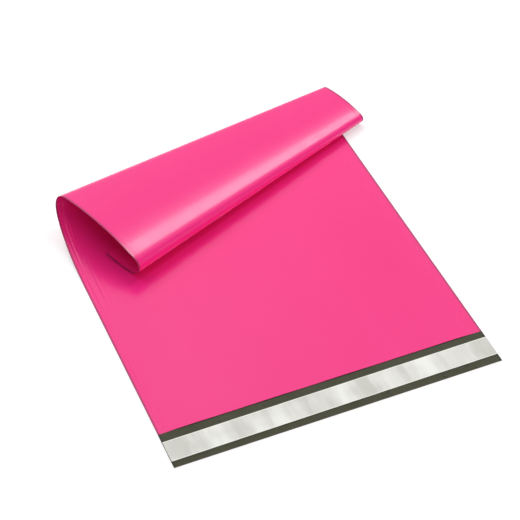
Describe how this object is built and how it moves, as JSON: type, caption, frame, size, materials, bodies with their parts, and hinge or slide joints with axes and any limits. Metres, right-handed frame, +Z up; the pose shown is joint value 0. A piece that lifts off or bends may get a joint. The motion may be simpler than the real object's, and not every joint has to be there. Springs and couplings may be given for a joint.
{
  "type": "poly mailer bag",
  "caption": "Empty plastic mailing bag lying face up, closed end curled over forward, mouth and flap at the front with a liner over the closing strip.",
  "frame": {"origin": "bottom centre of the bounding box, on the surface that the bag lies on", "axes": "+Y from the mouth and flap towards the curled closed end, +X to the right seen from the mouth, +Z up out of the front panel"},
  "size_m": [0.4324, 0.5016, 0.0566],
  "materials": {
    "film": "satin, pink outside and dark grey inside",
    "adhesive": "tacky, pale",
    "liner": "silvery, slightly crinkled"
  },
  "bodies": {
    "root": {"bag_film": "film", "adhesive_strip": "adhesive", "release_liner": "liner"}
  },
  "joints": []
}
